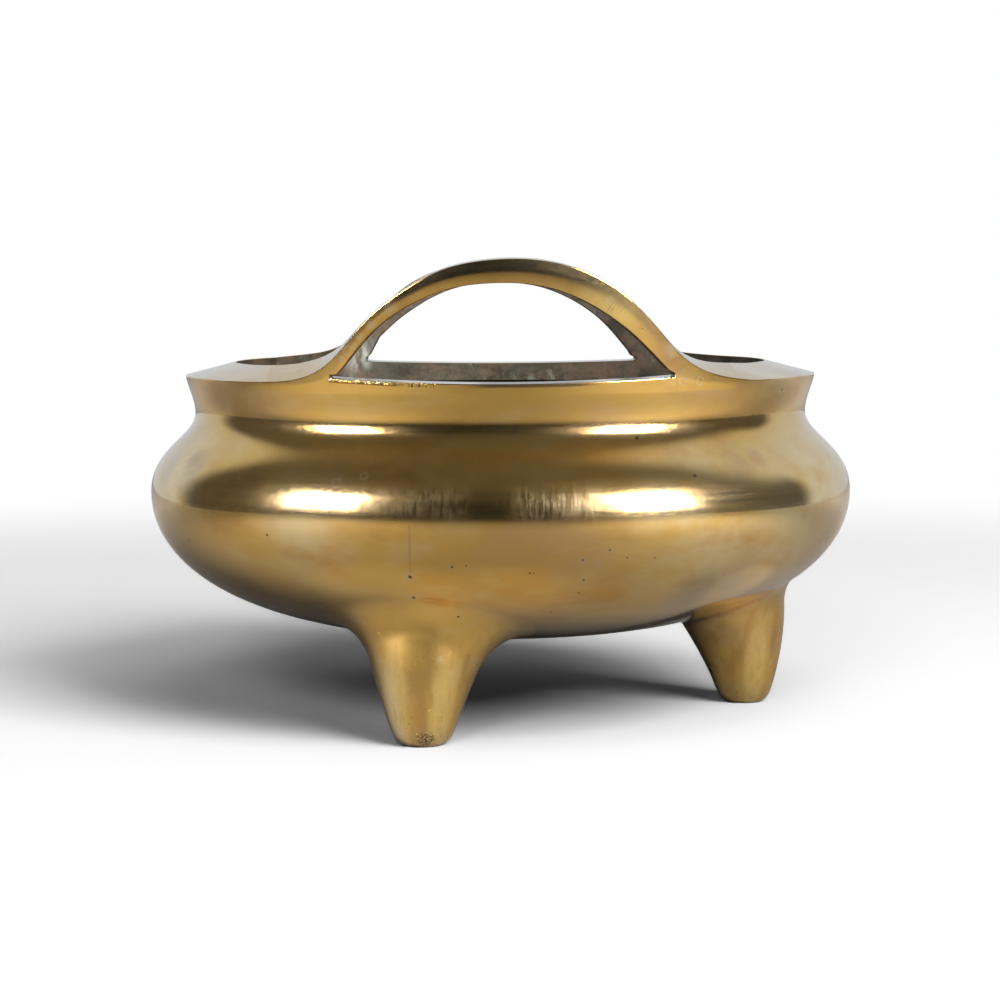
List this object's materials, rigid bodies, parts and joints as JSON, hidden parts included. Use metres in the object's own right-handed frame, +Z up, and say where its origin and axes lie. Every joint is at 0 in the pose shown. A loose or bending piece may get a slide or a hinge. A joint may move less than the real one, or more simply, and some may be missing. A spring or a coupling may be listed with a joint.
{
  "type": "tripod censer",
  "caption": "Round-bellied polished brass incense burner with a broad sloping lip, arched loop handles on the rim and tapering feet.",
  "frame": {"origin": "on the bowl's axis, in the plane that the three feet stand on", "axes": "+Z up the bowl's axis, +Y from the front handle to the back handle, +X to the right seen from the front"},
  "size_m": [0.25, 0.25, 0.1601],
  "materials": {
    "bowl_brass": "mirror-polished cast brass outside, dull grey-brown patina inside",
    "handle_brass": "polished outside with file marks, dark patina on the inner faces",
    "leg_brass": "satin-polished, with casting pits at the toes"
  },
  "bodies": {
    "root": {"bowl": "bowl_brass", "handle_front": "handle_brass", "handle_back": "handle_brass", "leg_front_left": "leg_brass", "leg_right": "leg_brass", "leg_back_left": "leg_brass"}
  },
  "joints": []
}
